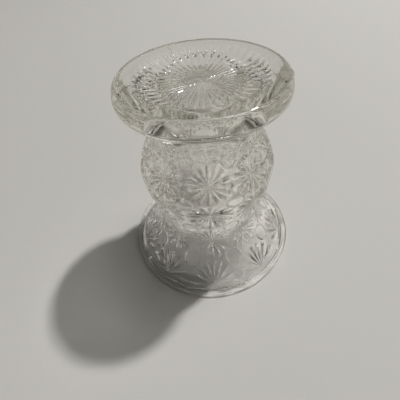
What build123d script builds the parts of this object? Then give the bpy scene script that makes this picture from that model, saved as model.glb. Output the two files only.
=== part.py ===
from build123d import *
from math import radians, tan
import os

# Pressed crystal vase, standing on its mouth: the flared bowl opens downwards and the foot is on top.
# The origin is the centre of the mouth's resting plane, and +Z runs up through the foot.
# The foot, the collar and the bowl are hot glass joined face to face, so nothing moves.

# ---- Driving dimensions, in millimetres ----
# Heights of the three pieces, stacked from the mouth up.
bowl_height = 43.5
collar_height = 9.0
foot_height = 6.2

# Outside of the bowl.
mouth_radius = 27.0
waist_radius = 15.9
waist_level = 14.0
bulge_radius = 19.2
bulge_level = 32.5
neck_radius = 14.4
lip_height = 1.4
lip_round = 0.65

# Cavity, which narrows from the mouth so that a plunger can leave it, and ends inside the collar.
lip_wall = 1.8
waist_wall = 2.6
neck_wall = 3.75
cavity_end_taper = 3.15
cavity_floor = 1.5
cavity_corner_round = 4.5
cavity_corner_share = 0.6

# Daisies pressed into the bowl, as shallow round hollows in rows of nine.
# A row's place is its share of the outside line, from the lip up to the neck.
daisy_count = 9
daisy_rows = (0.36, 0.67, 0.88)
daisy_ball_radius = 7.0
daisy_depth = 0.6

# Collar with six hollow panels, each cut by a wheel that lies level and faces the axis.
collar_top_radius = 18.6
panel_count = 6
panel_cut = 0.45
panel_rise = 3.7
panel_wheel_radius = 6.0
front = -90

# Foot with a rayed star sunk in its face.
foot_radius = 20.9
foot_flat_radius = 19.2
foot_belly = 2.9
star_radius = 15.8
star_rays = 40
star_depth = 2.4
star_ray_depth = 0.8
star_hub_radius = 1.0
ray_overlap = 1.05
ray_headroom = 1.4

# Which way each outline runs at its knots, as (outwards, up).
upright = (0, 1)
mouth_direction = (-1, 1)
neck_direction = (-0.8, 1)
cavity_waist_direction = (-0.12, 1)
cavity_neck_direction = (-0.21, 1)
cavity_end_direction = (-0.7, 1)
collar_direction = (0.25, 1)
foot_direction = (1, 1)

# ---- Values worked out from them ----
collar_level = bowl_height
foot_level = collar_level + collar_height
face_level = foot_level + foot_height
cavity_depth = foot_level - cavity_floor
cavity_mouth_radius = mouth_radius - lip_wall
cavity_waist_radius = waist_radius - waist_wall
cavity_neck_radius = neck_radius - neck_wall
cavity_end_radius = cavity_neck_radius - cavity_end_taper
panel_distance = neck_radius - panel_cut
panel_level = collar_level + panel_rise

os.makedirs("parts", exist_ok=True)


def ray_section(distance):
    """Draw the V of one ray of the star, across the ray, at a distance from the star's centre."""
    share = distance / star_radius
    ridge_level = face_level - star_depth * (1 - share)
    half_width = distance * tan(radians(180 / star_rays)) * ray_overlap
    depth = star_ray_depth * share
    top = ridge_level + (ray_headroom - 1) * depth
    with BuildSketch(Plane.YZ.offset(distance)) as section:
        with BuildLine():
            Polyline(
                (-half_width * ray_headroom, top),
                (half_width * ray_headroom, top),
                (0, ridge_level - depth),
                close=True,
            )
        make_face()
    return section.sketch


# ---- Cavity: the space that the plunger leaves in the bowl and the collar ----
with BuildPart() as cavity:
    with BuildSketch(Plane.XZ):
        with BuildLine():
            Spline(
                (cavity_mouth_radius, 0),
                (cavity_waist_radius, waist_level),
                (cavity_neck_radius, collar_level),
                (cavity_end_radius, cavity_depth),
                tangents=(
                    mouth_direction,
                    cavity_waist_direction,
                    cavity_neck_direction,
                    cavity_end_direction,
                ),
            )
            Polyline((cavity_end_radius, cavity_depth), (0, cavity_depth), (0, 0), (cavity_mouth_radius, 0))
        make_face()
    revolve(axis=Axis.Z)
    end_edge = cavity.edges().filter_by(GeomType.CIRCLE).sort_by(Axis.Z)[-1]
    fillet(end_edge, min(cavity_corner_round, cavity_corner_share * cavity_end_radius))

# ---- Bowl: flared mouth, waist and bulge, hollow all the way through ----
with BuildPart() as bowl:
    with BuildSketch(Plane.XZ):
        with BuildLine():
            outside = Spline(
                (mouth_radius, lip_height),
                (waist_radius, waist_level),
                (bulge_radius, bulge_level),
                (neck_radius, bowl_height),
                tangents=(mouth_direction, upright, upright, neck_direction),
            )
            Polyline(
                (neck_radius, bowl_height),
                (0, bowl_height),
                (0, 0),
                (mouth_radius, 0),
                (mouth_radius, lip_height),
            )
        make_face()
    revolve(axis=Axis.Z)
    add(cavity.part, mode=Mode.SUBTRACT)
    lip_edges = bowl.edges().filter_by_position(Axis.Z, -0.01, 0.01)
    fillet(lip_edges, lip_round)
    for share in daisy_rows:
        place = outside @ share
        along = outside % share
        reach = daisy_ball_radius - daisy_depth
        centre_radius = place.X + along.Y * reach
        centre_level = place.Y - along.X * reach
        with Locations((0, 0, centre_level)):
            with PolarLocations(centre_radius, daisy_count, start_angle=front):
                Sphere(daisy_ball_radius, mode=Mode.SUBTRACT)

# ---- Collar: a short flare that closes the cavity, with six hollow panels that just reach the foot ----
with BuildPart() as panel_wheel:
    with BuildSketch(Plane.XZ):
        with Locations((panel_distance + panel_wheel_radius, panel_level)):
            Circle(panel_wheel_radius)
    extrude(amount=collar_top_radius, both=True)

with BuildPart() as collar:
    with BuildSketch(Plane.XZ):
        with BuildLine():
            Spline(
                (neck_radius, collar_level),
                (collar_top_radius, foot_level),
                tangents=(collar_direction, foot_direction),
            )
            Polyline(
                (collar_top_radius, foot_level),
                (0, foot_level),
                (0, collar_level),
                (neck_radius, collar_level),
            )
        make_face()
    revolve(axis=Axis.Z)
    add(cavity.part, mode=Mode.SUBTRACT)
    with PolarLocations(0, panel_count, start_angle=front):
        add(panel_wheel.part, mode=Mode.SUBTRACT)

# ---- Foot: a thick disc with a star sunk in its face ----
with BuildPart() as ray:
    loft(sections=(ray_section(star_hub_radius), ray_section(star_radius)))

with BuildPart() as foot:
    with BuildSketch(Plane.XZ):
        with BuildLine():
            Spline(
                (collar_top_radius, foot_level),
                (foot_radius, foot_level + foot_belly),
                tangents=(foot_direction, upright),
            )
            EllipticalCenterArc(
                (foot_flat_radius, foot_level + foot_belly),
                foot_radius - foot_flat_radius,
                foot_height - foot_belly,
                start_angle=0,
                arc_size=90,
            )
            Polyline(
                (foot_flat_radius, face_level),
                (0, face_level),
                (0, foot_level),
                (collar_top_radius, foot_level),
            )
        make_face()
    revolve(axis=Axis.Z)
    with Locations((0, 0, face_level - star_depth / 2)):
        Cone(0, star_radius, star_depth, mode=Mode.SUBTRACT)
    with PolarLocations(0, star_rays, start_angle=front):
        add(ray.part, mode=Mode.SUBTRACT)
    with PolarLocations(0, panel_count, start_angle=front):
        add(panel_wheel.part, mode=Mode.SUBTRACT)

for name, piece in (("bowl", bowl), ("collar", collar), ("foot", foot)):
    piece.part.label = name
    export_step(piece.part, f"parts/{name}.step")
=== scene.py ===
"""Looks of a pressed crystal vase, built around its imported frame. Lengths are in metres.

The vase stands on its mouth. Its glass is one closed skin: a wrapped sheet of pressed daisies and
buttons, a fire-polished lip and cavity below it, and a panelled collar and a rayed foot above it.
"""
import math

import bmesh
import bpy
from mathutils import Matrix, Vector


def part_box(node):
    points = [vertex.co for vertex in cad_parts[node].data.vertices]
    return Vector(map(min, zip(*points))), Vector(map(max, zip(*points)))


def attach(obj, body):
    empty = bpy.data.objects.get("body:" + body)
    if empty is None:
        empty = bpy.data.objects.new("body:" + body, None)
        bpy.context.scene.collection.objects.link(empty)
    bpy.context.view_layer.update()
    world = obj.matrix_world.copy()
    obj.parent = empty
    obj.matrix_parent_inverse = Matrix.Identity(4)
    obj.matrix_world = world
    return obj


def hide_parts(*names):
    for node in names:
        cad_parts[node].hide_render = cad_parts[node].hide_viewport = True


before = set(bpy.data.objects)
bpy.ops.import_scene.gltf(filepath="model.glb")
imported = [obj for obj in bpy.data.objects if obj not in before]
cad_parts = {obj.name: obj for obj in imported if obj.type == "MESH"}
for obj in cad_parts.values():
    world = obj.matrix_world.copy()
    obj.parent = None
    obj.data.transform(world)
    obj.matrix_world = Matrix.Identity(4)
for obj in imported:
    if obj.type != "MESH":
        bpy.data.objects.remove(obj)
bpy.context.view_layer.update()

MM = 0.001
FRONT = math.radians(-90)

# ---- Places read from the frame ----
bowl_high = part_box("bowl")[1]
collar_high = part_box("collar")[1]
foot_low, foot_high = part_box("foot")
mouth_radius = bowl_high[0]
neck_level = bowl_high[2]
foot_level = foot_low[2]
face_level = foot_high[2]
foot_radius = foot_high[0]
collar_radius = collar_high[0]

# ---- Outside of the bowl and the collar: level, radius and slope (radius gained per unit of height) ----
lip_height = 1.4 * MM
lip_round = 0.85 * MM
lip_wall = 1.8 * MM
waist_level = 14.0 * MM
waist_radius = 15.9 * MM
bulge_level = 32.5 * MM
bulge_radius = 19.2 * MM
neck_radius = 14.4 * MM
belly_level = foot_level + 2.9 * MM
cavity_waist_radius = 13.3 * MM
cavity_neck_radius = 10.65 * MM
cavity_end_radius = 7.5 * MM
cavity_end_level = foot_level - 1.5 * MM
cavity_corner = 4.5 * MM
cavity_end_rings = (2.5 * MM, 0.5 * MM)
outside_knots = (
    (lip_height, mouth_radius, -1.3),
    (waist_level, waist_radius, 0.0),
    (bulge_level, bulge_radius, 0.0),
    (neck_level, neck_radius, -0.8),
)
collar_knots = (
    (neck_level, neck_radius, 0.25),
    (foot_level, collar_radius, 1.0),
    (belly_level, foot_radius, 0.0),
)
cavity_knots = (
    (0.0, mouth_radius - lip_wall, -1.2),
    (waist_level, cavity_waist_radius, -0.12),
    (neck_level, cavity_neck_radius, -0.21),
    (cavity_end_level, cavity_end_radius, -0.7),
)

# ---- Pressed pattern: nine columns of daisies, with a button where four daisies meet ----
column_count = 9
half_column = math.pi / column_count
button_reach = 0.40
row_centres = (3.0 * MM, 13.8 * MM, 29.4 * MM, 39.0 * MM, 50.4 * MM)
row_borders = (8.4 * MM, 21.6 * MM, 34.0 * MM, 44.0 * MM)
tile_half = 6.0 * MM
spokes = 64
daisy_rings = (0.10, 0.28, 0.48, 0.66, 0.80, 0.89, 0.95, 1.0)
groove_heights = (-0.84, -0.98, -1.06, -1.04, -0.90, -0.58, -0.14, 0.0)
ridge_heights = (-0.66, -0.46, -0.28, -0.15, -0.06, -0.02, 0.0, 0.0)
daisy_petal = (1.0, 0.15, 0.0, 0.15)
petal_tip_ring = 5
petal_tip_share = 0.1
daisy_hub = -0.70
button_spokes = 32
button_rings = (0.25, 0.50, 0.70, 0.80, 0.92, 1.0)
button_heights = (0.17, 0.13, 0.06, 0.0, -0.42, 0.0)
button_crown = 0.19
relief_inset = 0.08 * MM
lip_band = 0.7 * MM
collar_band = 0.5 * MM
weld_distance = 0.02 * MM

# ---- Collar ----
panel_count = 6
panel_distance = 13.95 * MM
wheel_radius = 6.0 * MM
wheel_level = neck_level + 3.7 * MM

# ---- Mould seams ----
seam_turns = [FRONT + math.radians(turn) for turn in (-36, 84, 204)]
seam_half_width = 0.12 * MM
seam_height = 0.10 * MM

# ---- Foot, and the star sunk in it: rings from the centre out, as shares of the star's radius ----
flat_radius = 19.2 * MM
face_ring = 17.6 * MM
star_radius = 15.8 * MM
star_land = 1.02 * star_radius
star_rays = 40
star_depth = 2.4 * MM
star_rings = (0.05, 0.14, 0.26, 0.38, 0.50, 0.60, 0.69, 0.77, 0.84, 0.90, 0.94, 0.97, 0.985, 1.0)
star_levels = (-1.0, -0.99, -0.97, -0.94, -0.90, -0.84, -0.74, -0.58, -0.40, -0.23, -0.12, -0.04, -0.01, 0.0)
star_ray_depths = (0.02, 0.05, 0.10, 0.16, 0.24, 0.36, 0.54, 0.78, 1.00, 1.10, 1.08, 0.92, 0.66, 0.0)
star_petal = (1.0, 0.93, 0.68, 0.0, 0.68, 0.93)
plain_sides = 240
bridge_gap = 20 * MM
smooth_angle = math.radians(22)


def hermite(knots, level):
    """Radius and slope at a level of a smooth line through knots of (level, radius, slope)."""
    pairs = list(zip(knots, knots[1:]))
    low, high = pairs[-1]
    for pair in pairs:
        if level <= pair[1][0]:
            low, high = pair
            break
    span = high[0] - low[0]
    t = min(max((level - low[0]) / span, 0.0), 1.0)
    radius = (
        (2 * t**3 - 3 * t**2 + 1) * low[1]
        + (t**3 - 2 * t**2 + t) * span * low[2]
        + (3 * t**2 - 2 * t**3) * high[1]
        + (t**3 - t**2) * span * high[2]
    )
    slope = (
        (6 * t**2 - 6 * t) * (low[1] - high[1]) / span
        + (3 * t**2 - 4 * t + 1) * low[2]
        + (3 * t**2 - 2 * t) * high[2]
    )
    return radius, slope


def outside(level):
    """Radius and slope of the vase's outside at a level."""
    knots = outside_knots if level < neck_level else collar_knots
    return hermite(knots, level)


def deselect():
    if bpy.context.object and bpy.context.object.mode != "OBJECT":
        bpy.ops.object.mode_set(mode="OBJECT")
    bpy.ops.object.select_all(action="DESELECT")


def disc(name, sides, radii):
    """A flat disc of rings, closed at its centre."""
    deselect()
    bpy.ops.mesh.primitive_circle_add(vertices=sides, radius=radii[0], fill_type="TRIFAN")
    piece = bpy.context.object
    piece.name = name
    bpy.ops.object.mode_set(mode="EDIT")
    bpy.ops.mesh.select_all(action="SELECT")
    bpy.ops.mesh.region_to_loop()
    for inner, outer in zip(radii, radii[1:]):
        bpy.ops.mesh.extrude_region_move()
        bpy.ops.transform.resize(value=(outer / inner, outer / inner, 1))
    bpy.ops.object.mode_set(mode="OBJECT")
    return piece


def lathe(name, sides, outline, close_end):
    """A round shell whose rings follow an outline of (radius, level)."""
    deselect()
    radius, level = outline[0]
    bpy.ops.mesh.primitive_circle_add(vertices=sides, radius=radius, location=(0, 0, level))
    piece = bpy.context.object
    piece.name = name
    bpy.ops.object.transform_apply(location=True, rotation=True, scale=True)
    bpy.ops.object.mode_set(mode="EDIT")
    bpy.ops.mesh.select_all(action="SELECT")
    for before, after in zip(outline, outline[1:]):
        bpy.ops.mesh.extrude_region_move(
            TRANSFORM_OT_translate={"value": (0, 0, after[1] - before[1])}
        )
        bpy.ops.transform.resize(value=(after[0] / before[0], after[0] / before[0], 1))
    if close_end:
        bpy.ops.mesh.merge(type="CENTER")
    bpy.ops.object.mode_set(mode="OBJECT")
    return piece


def raise_seams(shell):
    """Three thin mould seams up a round shell, each a narrow ridge."""
    step = 2 * math.pi / plain_sides
    for vertex in shell.data.vertices:
        radius = math.hypot(vertex.co.x, vertex.co.y)
        angle = math.atan2(vertex.co.y, vertex.co.x)
        for seam in seam_turns:
            away = (angle - seam + math.pi) % (2 * math.pi) - math.pi
            side = round(away / step)
            if abs(side) > 1:
                continue
            angle = seam + side * seam_half_width / radius
            radius += seam_height * (1 - abs(side))
            vertex.co.x = radius * math.cos(angle)
            vertex.co.y = radius * math.sin(angle)
            break


def copy_of(piece):
    copy = piece.copy()
    copy.data = piece.data.copy()
    bpy.context.collection.objects.link(copy)
    return copy


def ring_and_spoke(point, rings, sides):
    """Which ring and which spoke of a disc a vertex is on. The centre is ring -1."""
    distance = math.hypot(point.x, point.y)
    if distance < rings[0] / 2:
        return -1, 0
    ring = min(range(len(rings)), key=lambda i: abs(rings[i] - distance))
    turn = math.atan2(point.y, point.x) / (2 * math.pi)
    return ring, round(turn * sides) % sides


def cell_edge(spoke):
    """Where a daisy's spoke meets the edge of its cell, whose corners are left to the buttons."""
    quarter = spokes // 4
    side = ((spoke + quarter // 4) % quarter) - quarter // 4
    turns = (spoke + quarter // 4) // quarter
    half_side = quarter // 4
    if side <= half_side:
        place = Vector((1, (1 - button_reach) * side / half_side, 0))
    else:
        angle = math.radians(270 - 90 * (side - half_side) / (quarter - 2 * half_side))
        place = Vector((1 + button_reach * math.cos(angle), 1 + button_reach * math.sin(angle), 0))
    return Matrix.Rotation(math.radians(90 * turns), 3, "Z") @ place


def daisy_tile():
    """One daisy of sixteen V-shaped petals, in a cell two units wide and tall. Z is in millimetres."""
    tile = disc("daisy", spokes, daisy_rings)
    for vertex in tile.data.vertices:
        ring, spoke = ring_and_spoke(vertex.co, daisy_rings, spokes)
        if ring < 0:
            vertex.co.z = daisy_hub
            continue
        petal = spoke % len(daisy_petal)
        share = daisy_petal[petal]
        if ring == petal_tip_ring and petal in (1, 3):
            share = petal_tip_share
        vertex.co.z = groove_heights[ring] * share + ridge_heights[ring] * (1 - share)
        if ring == len(daisy_rings) - 1:
            edge = cell_edge(spoke)
            vertex.co.x = edge.x
            vertex.co.y = edge.y
    return tile


def button_tile():
    """One round button in its moat."""
    tile = disc("button", button_spokes, button_rings)
    for vertex in tile.data.vertices:
        ring, _ = ring_and_spoke(vertex.co, button_rings, button_spokes)
        vertex.co.z = button_crown if ring < 0 else button_heights[ring]
        vertex.co.x *= button_reach
        vertex.co.y *= button_reach
    return tile


def wrapped_point(column, level, height):
    """A point on the vase at a place in half columns from the front, a level and a relief height in mm."""
    radius, slope = outside(level)
    scale = radius * half_column / tile_half
    normal = Vector((1, -slope)).normalized()
    out = height * MM * scale - relief_inset
    radius += normal.x * out
    level += normal.y * out
    angle = FRONT + column * half_column
    return Vector((radius * math.cos(angle), radius * math.sin(angle), level))


def level_in_row(row, place):
    """The level of a tile's point. Its place is -1 at the row's lower border and 1 at the upper one."""
    if abs(place) < 1e-6:
        return row_centres[row]
    if place > 0:
        return row_centres[row] + place * (row_borders[row] - row_centres[row])
    return row_centres[row] + place * (row_centres[row] - row_borders[row - 1])


def edit(piece, kind):
    """Open a piece for editing with nothing selected, and return its edit mesh."""
    deselect()
    piece.select_set(True)
    bpy.context.view_layer.objects.active = piece
    bpy.ops.object.mode_set(mode="EDIT")
    bpy.ops.mesh.select_mode(type=kind)
    bpy.ops.mesh.select_all(action="DESELECT")
    return bmesh.from_edit_mesh(piece.data)


def half_tile(tile, side):
    """The half of a tile above its middle (side 1) or below it (side -1)."""
    half = copy_of(tile)
    mesh = edit(half, "VERT")
    for vertex in mesh.verts:
        vertex.select_set(vertex.co.y * side < -1e-4)
    bmesh.update_edit_mesh(half.data)
    bpy.ops.mesh.delete(type="VERT")
    bpy.ops.object.mode_set(mode="OBJECT")
    return half


def join(pieces, name):
    deselect()
    for piece in pieces:
        piece.select_set(True)
    bpy.context.view_layer.objects.active = pieces[0]
    bpy.ops.object.join()
    joined = bpy.context.object
    joined.name = name
    return joined


def pattern_sheet():
    """All the daisies and buttons, wrapped round the vase and merged into one sheet."""
    whole = daisy_tile()
    upper = half_tile(whole, 1)
    lower = half_tile(whole, -1)
    button = button_tile()
    tiles = []
    last = len(row_centres) - 1
    for row in range(last + 1):
        source = {0: upper, last: lower}.get(row, whole)
        for column in range(column_count):
            tile = copy_of(source)
            for vertex in tile.data.vertices:
                place = vertex.co
                vertex.co = wrapped_point(2 * column + place.x, level_in_row(row, place.y), place.z)
            tiles.append(tile)
    for row in range(last):
        for column in range(column_count):
            tile = copy_of(button)
            for vertex in tile.data.vertices:
                place = vertex.co
                level = level_in_row(row, place.y + 1)
                if place.y > 0:
                    level = level_in_row(row + 1, place.y - 1)
                vertex.co = wrapped_point(2 * column + 1 + place.x, level, place.z)
            tiles.append(tile)
    sheet = join(tiles, "pattern")
    for tile in (whole, upper, lower, button):
        bpy.data.objects.remove(tile)
    bpy.ops.object.mode_set(mode="EDIT")
    bpy.ops.mesh.select_all(action="SELECT")
    bpy.ops.mesh.remove_doubles(threshold=weld_distance)
    bpy.ops.object.mode_set(mode="OBJECT")
    return sheet


def arc(centre_radius, centre_level, radius, start, end, steps):
    """Points of an arc in the outline, angles in degrees from outwards towards up."""
    points = []
    for step in range(steps + 1):
        angle = math.radians(start + (end - start) * step / steps)
        across = radius * math.cos(angle)
        points.append((centre_radius + across, centre_level + radius * math.sin(angle)))
    return points


def levels_between(low, high, count):
    return [low + (high - low) * step / count for step in range(count + 1)]


def lip_and_cavity():
    """From the plain band above the lip, round the lip and up the cavity to its closed end."""
    band_top = row_centres[0] - lip_band
    outline = [(outside(level)[0], level) for level in levels_between(band_top, lip_height, 4)]
    outline += arc(mouth_radius - lip_round, lip_round, lip_round, 0, -90, 8)
    outline += arc(mouth_radius - lip_wall + lip_round, lip_round, lip_round, -95, -170, 8)
    end = cavity_end_level - cavity_corner
    outline += [(hermite(cavity_knots, level)[0], level) for level in levels_between(lip_height, end, 36)]
    top_radius = hermite(cavity_knots, end)[0]
    outline += arc(top_radius - cavity_corner, end, cavity_corner, 8, 90, 8)
    outline += [(radius, cavity_end_level) for radius in cavity_end_rings]
    return lathe("lip_and_cavity", plain_sides, outline, True)


def collar_and_foot():
    """From the top of the pattern up the collar, round the foot and over its face to the star's rim."""
    start = row_centres[-1] + collar_band
    outline = [(outside(level)[0], level) for level in levels_between(start, belly_level, 14)]
    for step in range(1, 17):
        angle = math.radians(90 * step / 16)
        across = (foot_radius - flat_radius) * math.cos(angle)
        up = (face_level - belly_level) * math.sin(angle)
        outline.append((flat_radius + across, belly_level + up))
    outline += [(face_ring, face_level), (star_land, face_level)]
    shell = lathe("collar_and_foot", plain_sides, outline, False)
    raise_seams(shell)
    return shell


def foot_star():
    """The sunk star: a dish of forty round-ended petals that fade towards its centre."""
    radii = [share * star_radius for share in star_rings]
    star = disc("star", plain_sides, radii)
    per_ray = plain_sides // star_rays
    for vertex in star.data.vertices:
        ring, spoke = ring_and_spoke(vertex.co, radii, plain_sides)
        if ring < 0:
            vertex.co.z = face_level - star_depth
            continue
        ridge = star_depth * star_levels[ring]
        petal = star_petal[spoke % per_ray]
        vertex.co.z = face_level + ridge - star_ray_depths[ring] * MM * petal
    return star


def lift(piece, height, above=-1.0):
    """Raise all of a piece that stands above a level."""
    for vertex in piece.data.vertices:
        if vertex.co.z > above:
            vertex.co.z += height


def bridge(piece, low, high, inner, outer):
    """Close the gap between the two open edges that lie in a band of levels and radii."""
    mesh = edit(piece, "EDGE")
    for edge in mesh.edges:
        if not edge.is_boundary:
            continue
        middle = (edge.verts[0].co + edge.verts[1].co) / 2
        radius = math.hypot(middle.x, middle.y)
        if low <= middle.z <= high and inner <= radius <= outer:
            edge.select_set(True)
    bmesh.update_edit_mesh(piece.data)
    bpy.ops.mesh.bridge_edge_loops()
    bpy.ops.object.mode_set(mode="OBJECT")


def foot_and_star():
    """The collar and foot with the star in its face. The star stands clear while the gap is bridged."""
    star = foot_star()
    lift(star, bridge_gap)
    top = join([collar_and_foot(), star], "collar_and_foot")
    bridge(top, face_level - 1 * MM, face_level + bridge_gap + 1 * MM, 0.5 * star_radius, 1.1 * star_radius)
    lift(top, -bridge_gap, face_level + bridge_gap / 2)
    return top


def glass_body():
    """The vase's closed skin, before its panels are cut."""
    skin = join([pattern_sheet(), lip_and_cavity()], "vase_glass")
    bridge(skin, 0.0, row_centres[0] + 2 * MM, 0.5 * mouth_radius, 2 * mouth_radius)
    top = foot_and_star()
    lift(top, bridge_gap)
    skin = join([skin, top], "vase_glass")
    bridge(skin, row_centres[-1] - 2 * MM, foot_level + bridge_gap, 0.0, mouth_radius)
    lift(skin, -bridge_gap, face_level)
    bpy.ops.object.mode_set(mode="EDIT")
    bpy.ops.mesh.select_all(action="SELECT")
    bpy.ops.mesh.normals_make_consistent(inside=False)
    bpy.ops.object.mode_set(mode="OBJECT")
    return skin


def panel_cutter(turn):
    """A wheel that cuts one of the collar's hollow panels."""
    deselect()
    reach = panel_distance + wheel_radius
    bpy.ops.mesh.primitive_cylinder_add(
        vertices=144,
        radius=wheel_radius,
        depth=2 * collar_radius,
        location=(reach * math.cos(turn), reach * math.sin(turn), wheel_level),
        rotation=(math.pi / 2, 0, turn),
    )
    wheel = bpy.context.object
    bpy.ops.object.transform_apply(location=True, rotation=True, scale=True)
    return wheel


def cut(piece, cutter):
    modifier = piece.modifiers.new("cut", "BOOLEAN")
    modifier.operation = "DIFFERENCE"
    modifier.solver = "EXACT"
    modifier.object = cutter
    deselect()
    piece.select_set(True)
    bpy.context.view_layer.objects.active = piece
    bpy.ops.object.modifier_apply(modifier=modifier.name)
    bpy.data.objects.remove(cutter)


skin = glass_body()
for panel in range(panel_count):
    cut(skin, panel_cutter(FRONT + panel * 2 * math.pi / panel_count))
deselect()
skin.select_set(True)
bpy.context.view_layer.objects.active = skin
bpy.ops.object.shade_smooth_by_angle(angle=smooth_angle)


def map_range(tree, value, low, high, at_low, at_high):
    """A node that turns the range low to high of a value into the range at_low to at_high."""
    node = tree.nodes.new("ShaderNodeMapRange")
    node.inputs["From Min"].default_value = low
    node.inputs["From Max"].default_value = high
    node.inputs["To Min"].default_value = at_low
    node.inputs["To Max"].default_value = at_high
    tree.links.new(value, node.inputs["Value"])
    return node.outputs["Result"]


def multiply(tree, first, second):
    node = tree.nodes.new("ShaderNodeMath")
    node.operation = "MULTIPLY"
    tree.links.new(first, node.inputs[0])
    tree.links.new(second, node.inputs[1])
    return node.outputs["Value"]


def painted_passed_light(tree, place, level):
    """How much lamp light the glass lets through to what is below it, for shadows only: a painted shadow
    strength by level and painted dapples of light, standing in for light bent through the glass.
    """
    # Painted shadow: more lamp light passes below 8 mm (the thin flare) and less above 16 mm, set by level
    # and not by the glass's thickness.
    painted_shadow_by_level = map_range(tree, level, 8.0 * MM, 16.0 * MM, 0.65, 0.38)
    # Painted dapples of light: a cell pattern that makes the light passed to the floor brighter and darker
    # in spots.
    painted_light_dapple = tree.nodes.new("ShaderNodeTexVoronoi")
    painted_light_dapple.inputs["Scale"].default_value = 330.0
    tree.links.new(place, painted_light_dapple.inputs["Vector"])
    painted_dapple_strength = map_range(tree, painted_light_dapple.outputs["Distance"], 0.15, 0.65, 1.25, 0.35)
    return multiply(tree, painted_shadow_by_level, painted_dapple_strength)


def ripple(tree, place, level):
    """The slight ripple that pressing leaves in the skin. The polished foot has less of it."""
    waves = tree.nodes.new("ShaderNodeTexNoise")
    waves.inputs["Scale"].default_value = 500.0
    waves.inputs["Detail"].default_value = 1.5
    tree.links.new(place, waves.inputs["Vector"])
    fade = map_range(tree, level, foot_level, foot_level + 3 * MM, 1.0, 0.12)
    bump = tree.nodes.new("ShaderNodeBump")
    bump.inputs["Strength"].default_value = 1.0
    bump.inputs["Distance"].default_value = 0.06 * MM
    tree.links.new(multiply(tree, waves.outputs["Fac"], fade), bump.inputs["Height"])
    return bump.outputs["Normal"]


def crystal():
    """Clear pressed glass with a faint olive tint in its depth, whose thin flare lets lamps through: its
    shadows are painted, with shadow rays passing a painted share of lamp light, more below the flare and in
    dapples.
    """
    material = bpy.data.materials.new("crystal")
    material.use_nodes = True
    tree = material.node_tree
    surface = tree.nodes["Material Output"].inputs["Surface"]
    volume = tree.nodes["Material Output"].inputs["Volume"]
    shader = tree.nodes["Principled BSDF"]
    shader.inputs["Base Color"].default_value = (0.985, 0.985, 0.975, 1)
    shader.inputs["Roughness"].default_value = 0.0
    shader.inputs["IOR"].default_value = 1.52
    shader.inputs["Transmission Weight"].default_value = 1.0
    tint = tree.nodes.new("ShaderNodeVolumeAbsorption")
    tint.inputs["Color"].default_value = (0.88, 0.87, 0.80, 1)
    tint.inputs["Density"].default_value = 22.0
    tree.links.new(tint.outputs["Volume"], volume)
    place = tree.nodes.new("ShaderNodeTexCoord").outputs["Object"]
    split = tree.nodes.new("ShaderNodeSeparateXYZ")
    tree.links.new(place, split.inputs["Vector"])
    level = split.outputs["Z"]
    tree.links.new(ripple(tree, place, level), shader.inputs["Normal"])
    # Shadow rays see this transparent shader, tinted by the painted shadow and light, in place of the glass.
    painted_shadow_side = tree.nodes.new("ShaderNodeBsdfTransparent")
    tree.links.new(painted_passed_light(tree, place, level), painted_shadow_side.inputs["Color"])
    path = tree.nodes.new("ShaderNodeLightPath")
    mix = tree.nodes.new("ShaderNodeMixShader")
    tree.links.new(path.outputs["Is Shadow Ray"], mix.inputs["Fac"])
    tree.links.new(shader.outputs["BSDF"], mix.inputs[1])
    tree.links.new(painted_shadow_side.outputs["BSDF"], mix.inputs[2])
    tree.links.new(mix.outputs["Shader"], surface)
    return material


skin.data.materials.clear()
skin.data.materials.append(crystal())
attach(skin, "root")
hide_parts("bowl", "collar", "foot")


def floor():
    """A plain pale floor, just under the lip."""
    deselect()
    bpy.ops.mesh.primitive_plane_add(size=3.0, location=(0, 0, -0.05 * MM))
    piece = bpy.context.object
    piece.name = "floor"
    paint = bpy.data.materials.new("floor_paint")
    paint.use_nodes = True
    shader = paint.node_tree.nodes["Principled BSDF"]
    shader.inputs["Base Color"].default_value = (0.59, 0.575, 0.54, 1)
    shader.inputs["Roughness"].default_value = 0.8
    piece.data.materials.append(paint)


def area_light(name, azimuth, elevation, distance, size, power):
    """A square soft light that looks at the vase from an azimuth and elevation in degrees."""
    aim = Vector((0, 0, 0.03))
    turn = math.radians(azimuth)
    tilt = math.radians(elevation)
    direction = (math.cos(turn) * math.cos(tilt), math.sin(turn) * math.cos(tilt), math.sin(tilt))
    place = aim + distance * Vector(direction)
    data = bpy.data.lights.new(name, "AREA")
    data.size = size
    data.energy = power
    light = bpy.data.objects.new(name, data)
    light.location = place
    light.rotation_euler = (aim - place).to_track_quat("-Z", "Y").to_euler()
    bpy.context.collection.objects.link(light)


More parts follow.
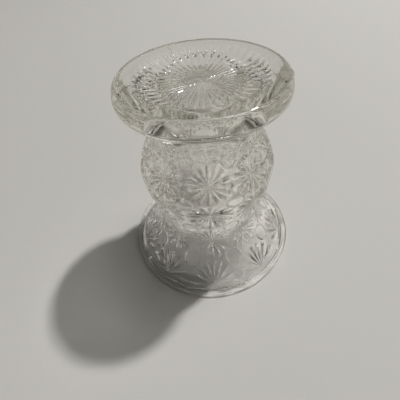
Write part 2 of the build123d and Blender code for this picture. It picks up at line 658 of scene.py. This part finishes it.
def camera():
    """The camera looks down at the vase from close by, with a slight tilt."""
    pitch = math.radians(48.14)
    yaw = math.radians(-2.72)
    roll = math.radians(-5.87)
    across = math.cos(pitch)
    forward = Vector((math.sin(yaw) * across, math.cos(yaw) * across, -math.sin(pitch)))
    level_right = Vector((math.cos(yaw), -math.sin(yaw), 0))
    level_up = level_right.cross(forward)
    right = math.cos(roll) * level_right + math.sin(roll) * level_up
    up = right.cross(forward)
    data = bpy.data.cameras.new("camera")
    data.sensor_width = 36
    data.lens = 26.03
    data.clip_start = 0.005
    eye = bpy.data.objects.new("camera", data)
    matrix = Matrix((right, up, -forward)).transposed().to_4x4()
    matrix.translation = Vector((0, -2.3985, 3.252)) * mouth_radius
    eye.matrix_world = matrix
    bpy.context.collection.objects.link(eye)
    bpy.context.scene.camera = eye


def studio_world():
    """Soft light from all round, pale near the horizon and dim overhead."""
    world = bpy.data.worlds.new("studio")
    world.use_nodes = True
    nodes = world.node_tree.nodes
    links = world.node_tree.links
    direction = nodes.new("ShaderNodeTexCoord")
    split = nodes.new("ShaderNodeSeparateXYZ")
    links.new(direction.outputs["Generated"], split.inputs["Vector"])
    ramp = nodes.new("ShaderNodeValToRGB")
    links.new(split.outputs["Z"], ramp.inputs["Fac"])
    stops = ramp.color_ramp
    stops.elements[0].position = 0.30
    stops.elements[0].color = (0.36, 0.345, 0.31, 1)
    stops.elements[1].position = 0.62
    stops.elements[1].color = (0.012, 0.0115, 0.011, 1)
    links.new(ramp.outputs["Color"], nodes["Background"].inputs["Color"])
    nodes["Background"].inputs["Strength"].default_value = 1.0
    bpy.context.scene.world = world


floor()
area_light("key", azimuth=37, elevation=56, distance=2.0, size=0.11, power=29.0)
area_light("window", azimuth=33, elevation=66, distance=1.6, size=0.5, power=4.0)
camera()
studio_world()

cycles = bpy.context.scene.cycles
cycles.max_bounces = 24
cycles.transmission_bounces = 24
cycles.glossy_bounces = 12
cycles.caustics_refractive = True
cycles.caustics_reflective = True
cycles.sample_clamp_indirect = 4.0
cycles.use_denoising = True
bpy.context.scene.view_settings.view_transform = "Standard"

bpy.context.view_layer.update()
